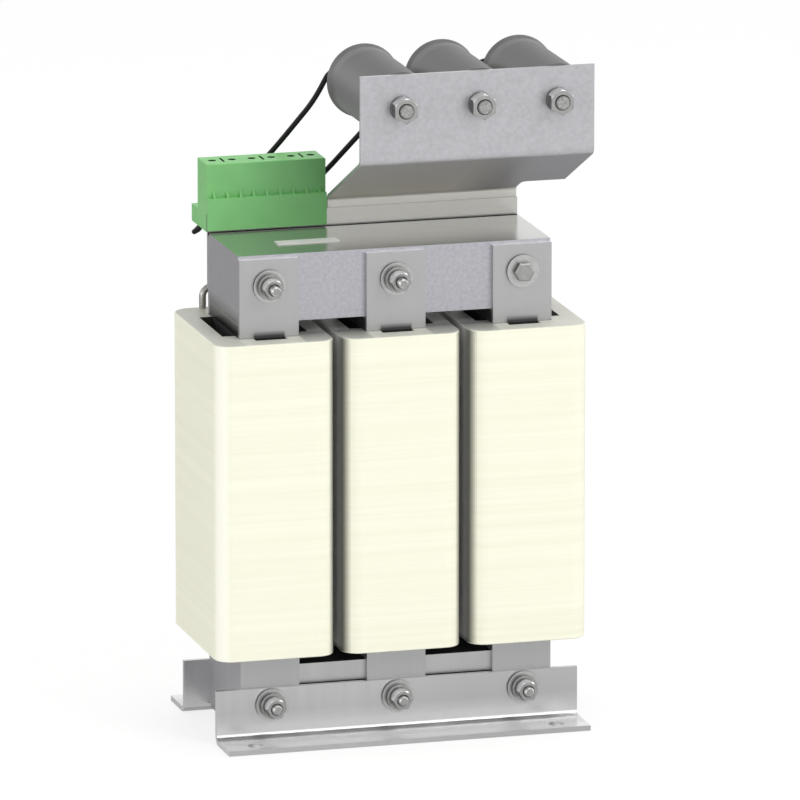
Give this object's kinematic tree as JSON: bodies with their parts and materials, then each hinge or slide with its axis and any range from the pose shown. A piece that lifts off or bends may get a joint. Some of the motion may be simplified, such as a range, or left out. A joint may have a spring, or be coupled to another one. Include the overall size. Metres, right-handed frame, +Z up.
{
  "type": "sine wave filter",
  "caption": "Three-phase sine wave filter: wound coils on a footed iron core, a folded bracket of round capacitors and a green terminal row.",
  "frame": {"origin": "centre of the four mounting holes, on the plane that the feet stand on", "axes": "+X to the right along the front, +Y to the back, +Z up"},
  "size_m": [0.223, 0.138, 0.3771],
  "materials": {
    "core_steel": "electrical steel sheets, zinc grey with a faint mottle",
    "coil_tape": "cream insulating tape in fine level turns",
    "zinc_steel": "galvanised steel",
    "bracket_steel": "galvanised sheet with a faint spangle",
    "fastener_steel": "bright zinc plated steel",
    "can_aluminium": "drawn aluminium",
    "lid_plastic": "black moulded lid",
    "terminal_green": "satin green moulding",
    "clamp_metal": "nickel plated",
    "black_wire": "black flexible insulation",
    "boot_plastic": "black insulating sleeve",
    "bare_lead": "bare tinned copper",
    "insulation": "pale pressed insulation",
    "label_white": "blank white plate"
  },
  "bodies": {
    "root": {"air_gap_spacers": "insulation", "bolt_sleeves": "insulation", "capacitor_blades": "clamp_metal", "capacitor_bracket": "bracket_steel", "capacitor_can_1": "can_aluminium", "capacitor_can_2": "can_aluminium", "capacitor_can_3": "can_aluminium", "capacitor_lead_1": "black_wire", "capacitor_lead_2": "black_wire", "capacitor_lead_3": "black_wire", "capacitor_lid_1": "lid_plastic", "capacitor_lid_2": "lid_plastic", "capacitor_lid_3": "lid_plastic", "capacitor_lock_washers": "fastener_steel", "capacitor_nuts": "fastener_steel", "coil_centre": "coil_tape", "coil_centre_leads": "bare_lead", "coil_left": "coil_tape", "coil_left_leads": "bare_lead", "coil_right": "coil_tape", "coil_right_leads": "bare_lead", "core_lower": "core_steel", "core_top_yoke": "core_steel", "front_foot": "zinc_steel", "front_strip_centre": "zinc_steel", "front_strip_left": "zinc_steel", "front_strip_right": "zinc_steel", "large_washers": "fastener_steel", "lead_boots": "boot_plastic", "lock_washers": "fastener_steel", "lower_bolts": "fastener_steel", "rating_plate": "label_white", "rear_foot": "zinc_steel", "rear_strip_centre": "zinc_steel", "rear_strip_left": "zinc_steel", "rear_strip_right": "zinc_steel", "spacer_washers": "fastener_steel", "star_link_1": "black_wire", "star_link_2": "black_wire", "terminal_clamps": "clamp_metal", "terminal_housing": "terminal_green", "terminal_plate": "zinc_steel", "terminal_screws": "clamp_metal", "top_bolts": "fastener_steel", "yoke_nuts": "fastener_steel"}
  },
  "joints": []
}
